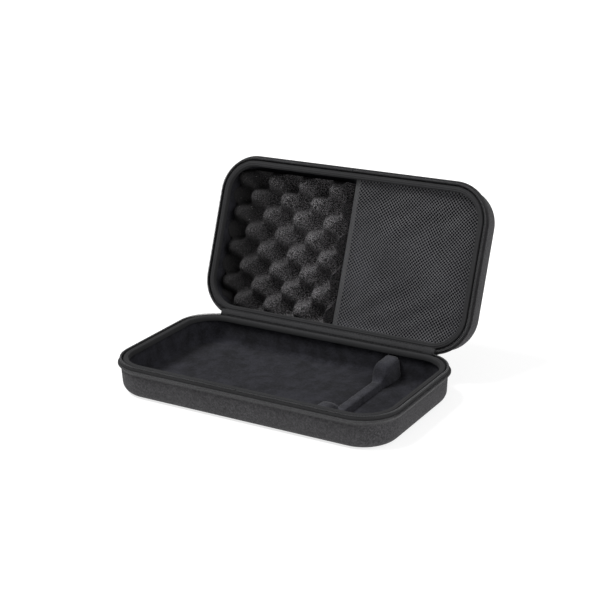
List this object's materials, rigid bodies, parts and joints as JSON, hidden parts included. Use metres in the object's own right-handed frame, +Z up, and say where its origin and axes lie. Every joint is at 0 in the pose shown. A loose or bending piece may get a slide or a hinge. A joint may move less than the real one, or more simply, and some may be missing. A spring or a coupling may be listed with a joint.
{
  "type": "hard-shell zip carry case",
  "caption": "Rounded moulded fabric carry case, standing open: egg-crate foam and a mesh pocket in the hinged lid, divided bays in the base.",
  "frame": {"origin": "centre of the base shell's flat underside", "axes": "+X along the length of the case, +Y to the hinge at the back, +Z up"},
  "size_m": [0.422, 0.3582, 0.2606],
  "materials": {
    "moulded_fabric": "woven fabric moulded over foam",
    "lining_fabric": "brushed knit",
    "binding_fabric": "ribbed tape",
    "zip_fabric": "woven tape",
    "zip_plastic": "moulded coil",
    "zip_metal": "black nickel",
    "foam": "open-cell foam",
    "mesh_fabric": "knitted net",
    "elastic_fabric": "ribbed elastic",
    "handle_rubber": "matt soft rubber",
    "bracket_plastic": "matt moulded"
  },
  "bodies": {
    "base": {"base_shell": "moulded_fabric", "base_lining": "lining_fabric", "base_binding": "binding_fabric", "base_zip_tape": "zip_fabric", "base_zip_coil": "zip_plastic", "zip_end_stops": "zip_metal", "hinge_strip_base": "binding_fabric", "front_buffer": "lining_fabric", "rear_buffer": "lining_fabric", "divider_bridge": "lining_fabric", "handle_bracket_left": "bracket_plastic", "handle_bracket_right": "bracket_plastic", "handle_pins": "zip_metal", "handle_rivets": "zip_metal"},
    "lid": {"lid_shell": "moulded_fabric", "lid_lining": "lining_fabric", "lid_binding": "binding_fabric", "lid_zip_tape": "zip_fabric", "lid_zip_coil": "zip_plastic", "hinge_strip_lid": "binding_fabric", "foam_layer": "foam", "foam_peaks_front": "foam", "foam_peaks_hinge": "foam", "mesh_pocket": "mesh_fabric", "pocket_elastic": "elastic_fabric"},
    "handle": {"handle_frame": "bracket_plastic", "handle_grip": "handle_rubber"},
    "slider_left": {"slider_left": "zip_metal"},
    "slider_right": {"slider_right": "zip_metal"},
    "pull_left": {"pull_left": "zip_metal", "pull_grip_left": "handle_rubber"},
    "pull_right": {"pull_right": "zip_metal", "pull_grip_right": "handle_rubber"}
  },
  "joints": [
    {"name": "lid_hinge", "type": "hinge", "parent": "base", "child": "lid", "pos_m": [0, 0.114, 0.0483], "axis": [-1, 0, 0], "range_deg": [-111.3, 0]},
    {"name": "handle_swing", "type": "hinge", "parent": "base", "child": "handle", "pos_m": [0, 0.12, 0.029], "axis": [1, 0, 0], "range_deg": [0, 85]},
    {"name": "slider_left_run", "type": "slide", "parent": "base", "child": "slider_left", "axis": [-1, 0, 0], "range_m": [0, 0.022]},
    {"name": "slider_right_run", "type": "slide", "parent": "base", "child": "slider_right", "axis": [1, 0, 0], "range_m": [0, 0.022]},
    {"name": "pull_left_swing", "type": "hinge", "parent": "slider_left", "child": "pull_left", "pos_m": [-0.1265, 0.1173, 0.046], "axis": [1, 0, 0], "range_deg": [0, 55]},
    {"name": "pull_right_swing", "type": "hinge", "parent": "slider_right", "child": "pull_right", "pos_m": [0.1265, 0.1173, 0.046], "axis": [1, 0, 0], "range_deg": [0, 55]}
  ]
}
